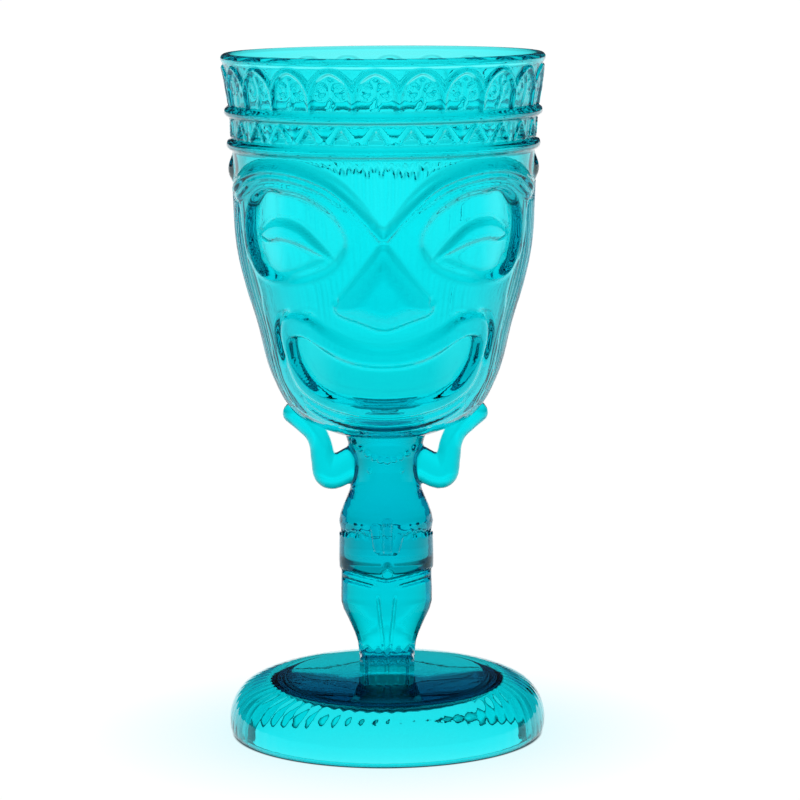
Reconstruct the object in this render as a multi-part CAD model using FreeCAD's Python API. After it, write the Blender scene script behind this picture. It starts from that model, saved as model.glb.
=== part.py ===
# A footed drinking goblet: a face cup held up by a small standing figure on a domed, fluted foot.
# Units are millimetres. The frame's origin is on the axis at the base, +Z is up, the face looks to -Y.
# Three mouldings: bowl, stem_figure and foot. They are joined by a round spigot and a keyed tenon.
import FreeCAD, Part
import math
import os

V = FreeCAD.Vector
UP = V(0, 0, 1)
ORIGIN = V(0, 0, 0)

# ---- Driving dimensions ----
height = 178.0            # base to rim
wall = 2.8                # bowl wall
bowl_bottom = 78.3        # underside of the bowl on the axis
rim_radius = 41.8
lip_start = height - wall / 2
bond_gap = 0.05           # glue line round every joint

# Outside of the bowl as (radius, height), from the axis to the lip
bowl_outline = [
    (0.0, bowl_bottom), (11.0, 79.3), (16.0, 80.8), (22.0, 84.2), (25.6, 88.2), (28.3, 93.5),
    (30.3, 99.0), (32.6, 108.7), (35.7, 119.2), (37.8, 129.6), (38.5, 142.5), (38.9, 154.0),
    (39.3, 162.0), (40.3, 168.0), (41.0, 173.0), (rim_radius, lip_start)]

# Rings and patterned bands round the bowl
bead_heights = [155.0, 163.2]
bead_radius = 1.2
leaf_count = 22
leaf_bottom = 165.2
leaf_top = 175.4
leaf_relief = 0.6
triangle_count = 28
triangle_bottom = 157.0
triangle_top = 161.2
triangle_relief = 0.7

# Face relief: how far each feature stands out of the bowl
brow_relief = 1.2
eye_relief = 1.3
cheek_relief = 0.8
lip_relief = 1.8
nose_relief = 2.2
nose_ridge_relief = 3.2

# Spigot under the bowl and its socket in the neck
spigot_radius = 6.0
spigot_bottom = 72.5

# Standing figure: (height, half width, half depth)
leg_sections = [(17.05, 7.1, 5.2), (22.0, 7.4, 4.8), (26.1, 8.4, 5.0), (30.4, 10.5, 5.6),
                (34.6, 12.3, 6.2), (43.0, 12.2, 7.0)]
skirt_sections = [(38.0, 12.4, 9.6), (45.0, 12.8, 10.2), (52.4, 12.6, 10.3)]
torso_sections = [(51.0, 12.1, 10.0), (56.0, 12.3, 10.2), (60.3, 11.1, 9.6), (64.5, 9.5, 8.8),
                  (68.5, 8.8, 8.2), (73.0, 8.9, 8.0), (81.0, 10.4, 8.4)]
figure_bottom = leg_sections[0][0]
hem_side = 43.4
hem_middle = 40.8
arm_depth = 7.2
arm_round = 1.6
ornament_relief = 1.4

# Keyed tenon under the figure and its mortise in the foot
tenon_width = 9.0
tenon_depth = 6.0
tenon_bottom = 11.5

# Foot as (radius, height), from the flat seat under the figure to the base ring
seat_radius = 10.0
foot_top = 17.0
foot_outline = [
    (seat_radius, foot_top), (20.0, 16.55), (26.0, 15.9), (30.0, 15.2), (34.0, 14.0), (37.4, 12.2),
    (39.6, 9.8), (40.9, 7.0), (41.4, 4.2), (41.2, 1.4), (40.4, 0.0)]
base_ring_inner = 38.0
hub_radius = 26.0
hub_bottom = 9.0
groove_outline = [
    (base_ring_inner, 0.0), (37.6, 3.0), (36.4, 6.5), (34.0, 9.2), (30.8, 11.0), (28.4, 11.2),
    (26.6, 10.4), (hub_radius, hub_bottom)]
flute_count = 72
flute_width = 1.1
flute_relief = 0.4
flute_swirl = 10.0        # degrees that each flute leans from the radius


# ---- Helpers ----
def curve_through(points):
    """A smooth edge through points given as (radius or x, z) in the XZ plane."""
    curve = Part.BSplineCurve()
    curve.interpolate([V(x, 0, z) for x, z in points])
    return curve.toShape()


def line(start, end):
    return Part.makeLine(V(start[0], 0, start[1]), V(end[0], 0, end[1]))


def turned(edges):
    """Solid turned about the Z axis from a closed outline of edges."""
    face = Part.Face(Part.Wire(edges))
    return face.revolve(ORIGIN, UP, 360)


def moved_out(points, distance):
    """Points of an outline moved along its outward normal; a point on the axis stays on it."""
    result = []
    for i, (x, z) in enumerate(points):
        before = points[max(i - 1, 0)]
        after = points[min(i + 1, len(points) - 1)]
        dx, dz = after[0] - before[0], after[1] - before[1]
        length = math.hypot(dx, dz)
        if x == 0:
            result.append((0.0, z - distance))
        else:
            result.append((x + distance * dz / length, z - distance * dx / length))
    return result


def smooth_face(points):
    """Face in the XZ plane inside a smooth closed curve."""
    curve = Part.BSplineCurve()
    curve.interpolate([V(x, 0, z) for x, z in points], PeriodicFlag=True)
    return Part.Face(Part.Wire([curve.toShape()]))


def corner_face(points):
    """Face in the XZ plane inside straight sides."""
    corners = [V(x, 0, z) for x, z in points]
    return Part.Face(Part.makePolygon(corners + corners[:1]))


def ribbon_face(points, width):
    """Face in the XZ plane of a band with this width that follows a smooth path."""
    sides = []
    for sign in (1, -1):
        side = []
        for i, (x, z) in enumerate(points):
            before = points[max(i - 1, 0)]
            after = points[min(i + 1, len(points) - 1)]
            dx, dz = after[0] - before[0], after[1] - before[1]
            length = math.hypot(dx, dz)
            side.append((x - sign * width / 2 * dz / length, z + sign * width / 2 * dx / length))
        sides.append(side)
    left, right = sides
    edges = [curve_through(left), line(left[-1], right[-1]),
             curve_through(right[::-1]), line(right[0], left[0])]
    return Part.Face(Part.Wire(edges))


def pushed_forward(face, near, far):
    """Prism from a face in the XZ plane that spans from near to far in front of the axis."""
    prism = face.extrude(V(0, near - far, 0))
    prism.translate(V(0, -near, 0))
    return prism


def mirrored(shape):
    return shape.mirror(ORIGIN, V(1, 0, 0))


def round_axis(shape, count):
    """Copies of a shape, evenly spaced about the Z axis."""
    copies = []
    for i in range(count):
        turned_copy = shape.copy()
        turned_copy.rotate(ORIGIN, UP, 360.0 * i / count)
        copies.append(turned_copy)
    return copies


# ---- Bowl ----
def bead(level):
    """Half-round edge of a ring bead, with the points where it leaves the bowl."""
    low, high = level - bead_radius, level + bead_radius
    radius = bowl_radius(level)
    points = [V(bowl_radius(low), 0, low), V(radius + bead_radius, 0, level), V(bowl_radius(high), 0, high)]
    return Part.Arc(*points).toShape(), (points[0].x, low), (points[2].x, high)


def bowl_radius(level):
    """Outside radius of the plain bowl at one height."""
    for (r0, z0), (r1, z1) in zip(bowl_outline, bowl_outline[1:]):
        if z0 <= level <= z1:
            return r0 + (r1 - r0) * (level - z0) / (z1 - z0)
    return rim_radius


def bowl_wall():
    """Turned bowl: beaded outside, round lip, smooth inside, closed at the bottom."""
    lower_bead, low_start, low_end = bead(bead_heights[0])
    upper_bead, high_start, high_end = bead(bead_heights[1])
    outside = [point for point in bowl_outline if point[1] < low_start[1] - 1] + [low_start]
    upper = [high_end] + [point for point in bowl_outline if point[1] > high_end[1] + 1]
    inside = moved_out(bowl_outline, -wall)
    inside[0] = (0.0, bowl_bottom + 1.4 * wall)
    inside[-1] = (rim_radius - wall, lip_start)
    lip = Part.Arc(V(rim_radius, 0, lip_start), V(rim_radius - wall / 2, 0, height),
                   V(rim_radius - wall, 0, lip_start)).toShape()
    edges = [curve_through(outside), lower_bead, line(low_end, high_start), upper_bead,
             curve_through(upper), lip, curve_through(inside[::-1]), line(inside[0], bowl_outline[0])]
    return turned(edges)


def bowl_blank(grow):
    """Solid bowl without its hollow, grown along its normal."""
    outline = moved_out(bowl_outline, grow)
    end = outline[-1]
    edges = [curve_through(outline), line(end, (0, end[1])), line((0, end[1]), outline[0])]
    return turned(edges)


def bowl_pad(face, stand_out):
    """Relief pad rooted half-way into the wall: the outline pushed forward through a thin layer."""
    layer = bowl_blank(stand_out).cut(bowl_blank(-wall / 2))
    return pushed_forward(face, 1, 60).common(layer)


def leaf_pads():
    """Pointed arches with a raised middle vein, round the band under the rim."""
    half = math.pi * rim_radius / leaf_count * 0.92
    middle = (leaf_bottom + leaf_top) / 2
    arch = Part.Face(Part.Wire([
        line((-half, leaf_bottom), (half, leaf_bottom)),
        curve_through([(half, leaf_bottom), (half * 0.78, middle), (0, leaf_top)]),
        curve_through([(0, leaf_top), (-half * 0.78, middle), (-half, leaf_bottom)])]))
    vein_width = half * 0.34
    vein = Part.Face(Part.Wire([
        curve_through([(0, leaf_bottom + 1), (vein_width, middle), (0, leaf_top - 2)]),
        curve_through([(0, leaf_top - 2), (-vein_width, middle), (0, leaf_bottom + 1)])]))
    pads = [bowl_pad(arch, leaf_relief / 2), bowl_pad(vein, leaf_relief)]
    return round_axis(pads[0], leaf_count) + round_axis(pads[1], leaf_count)


def triangle_pads():
    half = math.pi * bowl_outline[-4][0] / triangle_count * 0.6
    face = corner_face([(-half, triangle_bottom), (half, triangle_bottom), (0, triangle_top)])
    return round_axis(bowl_pad(face, triangle_relief), triangle_count)


def face_pads():
    """Brows, sockets, eyes, cheeks, nose, lips and jaw edge; the side features come in pairs."""
    brow = ribbon_face([(1.2, 135.5), (5.0, 143.0), (11.5, 148.0), (20.8, 150.2), (30.0, 149.6),
                        (35.5, 145.5)], 3.0)
    socket = ribbon_face([(8.4, 134.0), (13.4, 141.6), (20.9, 145.0), (28.6, 144.6), (33.4, 139.5),
                          (34.2, 131.0), (32.4, 124.5), (31.0, 118.6)], 1.6)
    eye = smooth_face([(31.4, 133.6), (27.4, 137.6), (20.5, 136.6), (15.3, 131.8), (12.8, 127.9),
                       (18.5, 129.6), (25.4, 131.9)])
    cheek = ribbon_face([(31.0, 126.0), (27.6, 122.8), (21.2, 124.4), (14.6, 127.2)], 1.5)
    jaw = ribbon_face([(31.0, 118.2), (30.8, 113.5), (29.3, 106.0), (27.4, 97.5), (24.4, 91.0)], 1.6)
    pads = []
    for face, relief in ((brow, brow_relief), (socket, brow_relief * 0.7), (eye, eye_relief),
                         (cheek, cheek_relief), (jaw, cheek_relief)):
        pad = bowl_pad(face, relief)
        pads += [pad, mirrored(pad)]
    nose = smooth_face([(0, 131.5), (3.5, 127.5), (6.6, 122.5), (11.2, 117.2), (10.2, 114.0),
                        (5.0, 112.0), (0, 110.8), (-5.0, 112.0), (-10.2, 114.0), (-11.2, 117.2),
                        (-6.6, 122.5), (-3.5, 127.5)])
    ridge = smooth_face([(0, 129.0), (2.4, 123.0), (4.2, 116.5), (0, 113.2), (-4.2, 116.5),
                         (-2.4, 123.0)])
    outer_lip = smooth_face([(0, 106.6), (13.1, 110.3), (21.0, 114.0), (25.4, 112.6), (25.0, 106.5),
                             (22.3, 97.0), (15.0, 90.2), (0, 86.6), (-15.0, 90.2), (-22.3, 97.0),
                             (-25.0, 106.5), (-25.4, 112.6), (-21.0, 114.0), (-13.1, 110.3)])
    mouth = smooth_face([(0, 102.1), (9.0, 103.5), (19.4, 108.2), (22.6, 106.7), (20.8, 99.5),
                         (11.5, 92.2), (0, 90.6), (-11.5, 92.2), (-20.8, 99.5), (-22.6, 106.7),
                         (-19.4, 108.2), (-9.0, 103.5)])
    pads += [bowl_pad(nose, nose_relief), bowl_pad(ridge, nose_ridge_relief),
             bowl_pad(outer_lip.cut(mouth), lip_relief)]
    return pads


def make_bowl():
    spigot = Part.makeCylinder(spigot_radius, bowl_bottom + wall - spigot_bottom, V(0, 0, spigot_bottom))
    return bowl_wall().fuse([spigot] + face_pads() + leaf_pads() + triangle_pads()).removeSplitter()


# ---- Standing figure ----
def ellipse_loft(sections, grow=0.0):
    """Body through upright ellipses, each grown sideways by the same amount."""
    wires = []
    for level, half_width, half_depth in sections:
        ellipse = Part.Ellipse(V(0, 0, level), half_width + grow, half_depth + grow)
        wires.append(Part.Wire([ellipse.toShape()]))
    return Part.makeLoft(wires, True)


def hem_prism(drop):
    """Everything below the V-shaped hem line, lowered by drop."""
    reach = 20
    face = corner_face([(-reach, hem_side - drop), (0, hem_middle - drop), (reach, hem_side - drop),
                        (reach, 30), (-reach, 30)])
    return pushed_forward(face, -reach, reach)


def leg_grooves():
    """Two shallow grooves down the front that part the legs."""
    path = [(2.4, 37.0), (2.0, 31.0), (1.2, 23.0)]
    groove = pushed_forward(ribbon_face(path, 0.8), 0, 20).cut(ellipse_loft(leg_sections, -0.8))
    return [groove, mirrored(groove)]


def arm():
    """Raised arm with its hand along the underside of the bowl, flat front to back."""
    face = smooth_face([(5.0, 68.5), (9.0, 66.6), (13.2, 64.9), (16.6, 65.0), (18.4, 68.0), (19.2, 73.0),
                        (20.2, 77.6), (23.4, 80.6), (26.4, 83.0), (26.8, 86.2), (24.6, 87.6),
                        (19.6, 84.0), (15.6, 80.6), (14.6, 77.0), (12.9, 74.4), (10.6, 76.6),
                        (8.4, 79.4), (4.0, 78.0)])
    slab = face.extrude(V(0, arm_depth, 0))
    slab.translate(V(0, -arm_depth / 2, 0))
    rims = [edge for edge in slab.Edges if abs(edge.BoundBox.YLength) < 0.01]
    return slab.makeFillet(arm_round, rims)


def toes():
    """Blunt front ends of the two feet."""
    blocks = []
    for side in (-1, 1):
        block = Part.makeBox(6.4, 7.4, 4.4, V(side * 3.6 - 3.2, -6.9, figure_bottom))
        edges = [edge for edge in block.Edges if edge.CenterOfMass.z > figure_bottom + 0.1]
        blocks.append(block.makeFillet(1.2, edges))
    return blocks


def ornament():
    """Three-lobed knot on the front of the belt."""
    lobes = [smooth_face([(0, 47.8), (1.7, 52.0), (0, 58.4), (-1.7, 52.0)])]
    for side in (-1, 1):
        lobes.append(smooth_face([(side * 1.6, 48.4), (side * 4.6, 50.2), (side * 3.6, 55.4),
                                  (side * 1.8, 53.0)]))
    grown = ellipse_loft(torso_sections[:3], ornament_relief)
    lower = ellipse_loft(skirt_sections, ornament_relief * 0.8)
    return [pushed_forward(lobe, 0, 20).common(solid) for lobe in lobes for solid in (grown, lower)]


def tenon(gap=0.0):
    """Keyed peg under the figure; with a gap it is the mortise that takes it."""
    width, depth = tenon_width + 2 * gap, tenon_depth + 2 * gap
    low = tenon_bottom - gap
    return Part.makeBox(width, depth, figure_bottom + 0.5 - low, V(-width / 2, -depth / 2, low))


def make_figure():
    skirt = ellipse_loft(skirt_sections).cut(hem_prism(0))
    arm_shape = arm()
    body = ellipse_loft(leg_sections).cut(leg_grooves())
    body = body.fuse([skirt, ellipse_loft(torso_sections), arm_shape, mirrored(arm_shape), tenon()]
                     + toes() + ornament())
    socket = Part.makeCylinder(spigot_radius + bond_gap, 20, V(0, 0, spigot_bottom - bond_gap))
    return body.cut([bowl_blank(bond_gap), socket]).removeSplitter()


# ---- Foot ----
def foot_blank(grow):
    outline = moved_out(foot_outline[::-1], grow)
    first, last = outline[0], outline[-1]
    edges = [line((0, first[1]), first), curve_through(outline), line(last, (0, last[1])),
             line((0, last[1]), (0, first[1]))]
    return turned(edges)


def foot_hollow():
    """Space under the dome: a ring groove round a flat hub."""
    below = -1.0
    edges = [line((0, below), (base_ring_inner, below)), line((base_ring_inner, below), groove_outline[0]),
             curve_through(groove_outline), line(groove_outline[-1], (0, hub_bottom)),
             line((0, hub_bottom), (0, below))]
    return turned(edges)


def flutes():
    """Fine grooves that lean a little from the radius, cut into the dome down to the base."""
    inner, outer = 25.0, 45.0
    bar = Part.makeBox(outer - inner, flute_width, 30, V(inner, -flute_width / 2, 1.5))
    pivot = V((inner + outer) / 2, 0, 0)
    bar.rotate(pivot, UP, flute_swirl)
    return round_axis(bar.cut(foot_blank(-flute_relief)), flute_count)


def make_foot():
    return foot_blank(0).cut([foot_hollow(), tenon(bond_gap)] + flutes()).removeSplitter()


os.makedirs("parts", exist_ok=True)
for name, shape in (("bowl", make_bowl()), ("stem_figure", make_figure()), ("foot", make_foot())):
    print(name, shape.isValid(), len(shape.Solids), len(shape.Faces), round(shape.Volume / 1000, 2), "cm3")
    shape.exportStep("parts/" + name + ".step")
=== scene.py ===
# Visual model of a footed goblet in clear turquoise plastic: a carved-face cup, a standing figure
# that holds it up, and a domed fluted foot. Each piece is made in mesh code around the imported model.
import math

import bpy
import numpy as np
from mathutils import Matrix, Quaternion, Vector


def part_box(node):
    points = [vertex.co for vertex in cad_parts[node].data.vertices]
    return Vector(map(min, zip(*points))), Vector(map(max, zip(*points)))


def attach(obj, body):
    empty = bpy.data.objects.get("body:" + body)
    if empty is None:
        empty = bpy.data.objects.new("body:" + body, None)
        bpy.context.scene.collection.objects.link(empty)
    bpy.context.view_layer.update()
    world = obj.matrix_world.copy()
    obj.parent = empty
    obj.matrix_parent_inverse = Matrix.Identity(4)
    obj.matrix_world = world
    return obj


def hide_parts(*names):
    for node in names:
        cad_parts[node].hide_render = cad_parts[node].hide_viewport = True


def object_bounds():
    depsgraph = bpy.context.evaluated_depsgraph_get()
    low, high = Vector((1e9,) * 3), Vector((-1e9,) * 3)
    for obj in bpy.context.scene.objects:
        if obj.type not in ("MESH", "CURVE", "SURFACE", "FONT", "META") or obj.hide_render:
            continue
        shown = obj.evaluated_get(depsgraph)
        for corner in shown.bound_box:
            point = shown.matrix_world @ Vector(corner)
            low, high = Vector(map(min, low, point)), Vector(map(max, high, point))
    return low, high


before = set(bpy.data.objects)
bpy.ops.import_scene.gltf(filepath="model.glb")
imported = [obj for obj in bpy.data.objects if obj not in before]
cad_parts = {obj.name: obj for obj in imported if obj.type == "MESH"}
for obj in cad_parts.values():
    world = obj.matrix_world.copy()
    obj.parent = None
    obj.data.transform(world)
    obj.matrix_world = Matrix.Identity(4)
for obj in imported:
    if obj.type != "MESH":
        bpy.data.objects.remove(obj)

bl_info = {
    "name": "Face Goblet",
    "version": (1, 0, 0),
    "blender": (4, 5, 0),
    "location": "View3D > Sidebar > Goblet",
    "description": "Builds a clear goblet with a carved-face cup, a figure stem and a fluted foot",
    "category": "Add Mesh",
}

CAD_LOW, CAD_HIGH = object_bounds()
NOMINAL_HEIGHT = 178.0
MM = (CAD_HIGH.z - CAD_LOW.z) / NOMINAL_HEIGHT    # metres in one model millimetre
RIM_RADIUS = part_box("bowl")[1].x / MM
FOOT_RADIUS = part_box("foot")[1].x / MM
BOND = 0.15                                        # how far bonded pieces reach into each other, mm


# ---------------------------------------------------------------- curves and fields, all in mm
def smooth_path(points, steps=8):
    """Points of a smooth curve through the given ones."""
    points = [np.array(p, float) for p in points]
    result = []
    for i in range(len(points) - 1):
        before, start = points[max(i - 1, 0)], points[i]
        end, after = points[i + 1], points[min(i + 2, len(points) - 1)]
        for k in range(steps):
            t = k / steps
            result.append(0.5 * (2 * start + (end - before) * t
                                 + (2 * before - 5 * start + 4 * end - after) * t * t
                                 + (3 * start - before - 3 * end + after) * t ** 3))
    result.append(points[-1])
    return np.array(result)


def smooth_loop(points, steps=8):
    """Points of a smooth closed curve through the given ones."""
    wrapped = [points[-1]] + list(points) + [points[0], points[1]]
    return smooth_path(wrapped, steps)[steps:-steps]


def mirror_loop(half):
    """Closed outline from its right half, listed from the top middle round to the bottom middle."""
    left = [(-x, z) for x, z in half[::-1] if x > 0.01]
    return smooth_loop(list(half) + left)


def path_distance(x, z, path):
    """Distance from each (x, z) to a path, and how far along the path the nearest place is (0 to 1)."""
    best = np.full(x.shape, 1e9)
    along = np.zeros(x.shape)
    count = len(path) - 1
    for i in range(count):
        ax, az = path[i]
        bx, bz = path[i + 1]
        dx, dz = bx - ax, bz - az
        length = max(dx * dx + dz * dz, 1e-12)
        t = np.clip(((x - ax) * dx + (z - az) * dz) / length, 0, 1)
        d = np.hypot(x - ax - t * dx, z - az - t * dz)
        nearer = d < best
        best = np.where(nearer, d, best)
        along = np.where(nearer, (i + t) / count, along)
    return best, along


def depth_inside(x, z, loop):
    """Signed distance to a closed outline, positive inside."""
    inside = np.zeros(x.shape, bool)
    for (ax, az), (bx, bz) in zip(loop[:-1], loop[1:]):
        if abs(bz - az) < 1e-12:
            continue
        crosses = (az > z) != (bz > z)
        inside ^= crosses & (x < (bx - ax) * (z - az) / (bz - az) + ax)
    distance, _ = path_distance(x, z, loop)
    return np.where(inside, distance, -distance)


def ease(value, low, high):
    """0 below low, 1 above high, smooth between."""
    t = np.clip((value - low) / (high - low), 0, 1)
    return t * t * (3 - 2 * t)


def ridge(distance, half_width):
    """Rounded ridge across a path: 1 on it, 0 at half_width."""
    t = np.clip(distance / half_width, 0, 1)
    return (1 - t * t) ** 2


def notch(distance, half_width):
    """V-shaped cut across a path: 1 on it, 0 at half_width."""
    return np.clip(1 - distance / half_width, 0, 1)


def hash_noise(index, seed):
    """Repeatable value from 0 to 1 for each whole number."""
    value = np.sin(np.asarray(index, float) * 12.9898 + seed * 78.233) * 43758.5453
    return value - np.floor(value)


def value_noise(position, seed):
    """Smooth one-way noise from 0 to 1."""
    low = np.floor(position)
    t = position - low
    t = t * t * (3 - 2 * t)
    return hash_noise(low, seed) * (1 - t) + hash_noise(low + 1, seed) * t


# ---------------------------------------------------------------- meshes
def add_mesh(name, points, faces, material):
    """Smooth-shaded mesh object from points in mm."""
    mesh = bpy.data.meshes.new(name)
    mesh.from_pydata((np.asarray(points, float) * MM).tolist(), [], faces)
    mesh.validate()
    mesh.update()
    mesh.shade_smooth()
    mesh.materials.append(material)
    piece = bpy.data.objects.new(name, mesh)
    bpy.context.scene.collection.objects.link(piece)
    return piece


def ring_mesh(name, rows, start, end, material):
    """Closed mesh from rings of points, rows x columns x 3, with one point closing each end."""
    count, columns = rows.shape[:2]
    points = np.vstack([rows.reshape(-1, 3), [start, end]])
    first, last = count * columns, count * columns + 1
    i, j = np.meshgrid(np.arange(count - 1), np.arange(columns), indexing="ij")
    next_j = (j + 1) % columns
    quads = np.stack([i * columns + j, i * columns + next_j,
                      (i + 1) * columns + next_j, (i + 1) * columns + j], -1).reshape(-1, 4)
    faces = quads.tolist()
    top = (count - 1) * columns
    for j in range(columns):
        k = (j + 1) % columns
        faces.append([first, k, j])
        faces.append([last, top + j, top + k])
    return add_mesh(name, points, faces, material)


def replace_node(piece, node):
    """The piece rides on the goblet and stands for its CAD node."""
    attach(piece, "root")
    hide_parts(node)


# ---------------------------------------------------------------- materials
BUMP_DEPTH = 0.0002                                # full depth of the surface waviness, metres
REFLECTION_TINT = (0.0, 0.9, 1.0, 1)               # the plastic's surface gives back no red


def feed(tree, socket, value):
    """Give a socket a plain number, or link another node's output to it."""
    if isinstance(value, (int, float)):
        socket.default_value = value
    else:
        tree.links.new(value, socket)


def math_node(tree, operation, *values):
    """Output of a new math node; each value is a number or another node's output."""
    node = tree.nodes.new("ShaderNodeMath")
    node.operation = operation
    for socket, value in zip(node.inputs, values):
        feed(tree, socket, value)
    return node.outputs[0]


def range_node(tree, value, limits):
    """Output of a node that maps value between limits, listed by the names of its sockets."""
    node = tree.nodes.new("ShaderNodeMapRange")
    feed(tree, node.inputs["Value"], value)
    for name, limit in limits.items():
        feed(tree, node.inputs[name], limit)
    return node.outputs[0]


def waviness_group():
    """Shared unevenness of moulded plastic: slow swells and fine flow marks, as a height."""
    name = "mould_waviness"
    if name in bpy.data.node_groups:
        return bpy.data.node_groups[name]
    group = bpy.data.node_groups.new(name, "ShaderNodeTree")
    for label, value in (("Swell Scale", 120.0), ("Swell", 1.0), ("Flow Scale", 900.0), ("Flow", 0.15)):
        socket = group.interface.new_socket(label, in_out="INPUT", socket_type="NodeSocketFloat")
        socket.default_value = value
    group.interface.new_socket("Height", in_out="OUTPUT", socket_type="NodeSocketFloat")
    inside = group.nodes.new("NodeGroupInput")
    outside = group.nodes.new("NodeGroupOutput")
    place = group.nodes.new("ShaderNodeTexCoord")
    parts = []
    for scale, amount in (("Swell Scale", "Swell"), ("Flow Scale", "Flow")):
        noise = group.nodes.new("ShaderNodeTexNoise")
        noise.inputs["Detail"].default_value = 2.0
        group.links.new(place.outputs["Object"], noise.inputs["Vector"])
        group.links.new(inside.outputs[scale], noise.inputs["Scale"])
        parts.append(math_node(group, "MULTIPLY", noise.outputs["Fac"], inside.outputs[amount]))
    group.links.new(math_node(group, "ADD", *parts), outside.inputs["Height"])
    return group


def clear_plastic(name, settings, swell_scale, bump):
    """Clear plastic, tinted through, with the waviness of a moulded surface."""
    material = bpy.data.materials.new(name)
    material.use_nodes = True
    tree = material.node_tree
    surface = tree.nodes["Principled BSDF"]
    surface.inputs["Base Color"].default_value = (1, 1, 1, 1)
    surface.inputs["Roughness"].default_value = settings.roughness
    surface.inputs["IOR"].default_value = settings.ior
    surface.inputs["Transmission Weight"].default_value = 1.0
    surface.inputs["Specular Tint"].default_value = REFLECTION_TINT
    tint = tree.nodes.new("ShaderNodeVolumeAbsorption")
    tint.inputs["Color"].default_value = (*settings.tint, 1)
    tint.inputs["Density"].default_value = settings.density
    tree.links.new(tint.outputs[0], tree.nodes["Material Output"].inputs["Volume"])
    waves = tree.nodes.new("ShaderNodeGroup")
    waves.node_tree = waviness_group()
    waves.inputs["Swell Scale"].default_value = swell_scale
    bumps = tree.nodes.new("ShaderNodeBump")
    bumps.inputs["Distance"].default_value = BUMP_DEPTH
    bumps.inputs["Strength"].default_value = bump
    tree.links.new(waves.outputs["Height"], bumps.inputs["Height"])
    tree.links.new(bumps.outputs["Normal"], surface.inputs["Normal"])
    return material


# ---------------------------------------------------------------- bowl
BOWL_OUTLINE = [
    (0.0, 78.3), (11.0, 79.3), (16.0, 80.8), (22.0, 84.2), (25.6, 88.2), (28.3, 93.5), (30.3, 99.0),
    (32.6, 108.7), (35.7, 119.2), (37.8, 129.6), (38.5, 142.5), (38.9, 154.0), (39.3, 162.0),
    (40.0, 168.0), (40.7, 173.0), (41.2, 175.4)]
LIP_LEVEL = 176.6
BEADS = [(154.8, 1.5, 1.5), (163.2, 1.4, 1.6)]     # level, half height, stand-out
BAND_TURN = math.radians(-2.4)                      # the bands start a little off the face's middle

LEAVES = 22
# One side of a leaf's edge, as (share of half a leaf's width, level)
LEAF_EDGE = [(1.0, 165.0), (0.98, 168.4), (0.82, 171.4), (0.46, 173.7), (0.0, 175.0)]
LEAF_VEIN = [(-0.4, 165.5), (0.5, 168.5), (0.1, 172.6)]
CURL_MIDDLE = (2.5, 169.6)

TRIANGLES = 28
TRIANGLE_SIDE = [(2.9, 156.9), (0.0, 161.3)]
TRIANGLE_HOLLOW = [(-3.0, 157.2), (2.5, 157.2), (-0.2, 161.0), (-3.0, 157.2)]
LINES_BETWEEN = (3.35, 4.1)                         # upright lines, from a triangle's middle

HAIR_FLUTES = 118
HAIR_POINTS = 145                                   # corners of the jagged top edge
HAIR_PITCH = 1.02
HAIR_TOP = 146.9
HAIR_NOTCH = 145.2
HAIR_SIDE = (math.radians(62), math.radians(74))    # where the hair starts, and is full
EAR_TURN = math.radians(87)
EAR_LEVEL = 148.4
EAR_SIZE = (5.0, 4.8)

BROW = [(0.6, 133.6), (3.4, 137.4), (8.2, 142.4), (13.6, 146.6), (20.8, 149.3), (28.0, 149.9),
        (33.4, 147.8), (36.6, 143.8)]
MASK = [(0.0, 136.0), (4.0, 139.0), (9.0, 144.5), (14.0, 148.5), (20.8, 151.2), (27.2, 151.8),
        (33.8, 149.6), (36.9, 144.9), (36.3, 138.6), (35.0, 128.5), (32.8, 123.6), (31.2, 118.3),
        (30.8, 114.0), (29.4, 106.6), (27.6, 96.4), (24.6, 90.3), (20.8, 86.6), (12.0, 83.6),
        (0.0, 82.6)]
SOCKET = [(8.0, 133.6), (10.0, 138.0), (13.8, 141.9), (20.9, 145.4), (28.6, 145.6), (32.4, 142.4),
          (33.8, 136.2), (33.0, 129.2), (30.6, 124.4), (25.0, 121.4), (18.0, 122.4), (12.0, 125.4),
          (8.8, 129.4)]
EYE = [(32.0, 133.4), (29.6, 136.6), (25.6, 137.9), (20.6, 136.6), (15.8, 132.4), (11.8, 127.6),
       (16.1, 128.9), (21.1, 131.0), (25.4, 132.0), (29.6, 131.4)]
BAG = [(31.4, 127.0), (29.8, 124.0), (26.0, 122.8), (21.2, 124.4), (14.8, 127.4)]
NOSE = [(0.0, 132.2), (2.6, 129.0), (6.1, 124.4), (9.4, 120.0), (11.8, 117.0), (11.0, 114.6),
        (6.0, 112.6), (2.0, 111.0), (0.0, 110.7)]
LIPS = [(0.0, 106.4), (7.0, 107.6), (13.1, 110.5), (17.4, 113.6), (21.4, 114.6), (24.6, 113.2),
        (25.6, 109.4), (24.8, 104.0), (22.3, 96.4), (19.0, 92.4), (14.0, 89.6), (7.0, 87.9),
        (0.0, 87.4)]
MOUTH = [(0.0, 102.1), (4.5, 102.4), (9.0, 103.5), (15.2, 106.4), (19.4, 108.4), (22.2, 107.9),
         (22.8, 105.0), (21.4, 100.4), (17.6, 95.4), (11.5, 92.3), (5.5, 91.3), (0.0, 91.0)]
EYE_CORNER = (31.6, 133.9)
NOSTRIL = (11.5, 117.9)
CREASE = (18.6, 113.9)                              # short fold above the corner of the mouth
CHIN_LINE = [(0.0, 87.3), (8.0, 88.0), (15.0, 90.2), (19.0, 92.8)]

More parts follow.
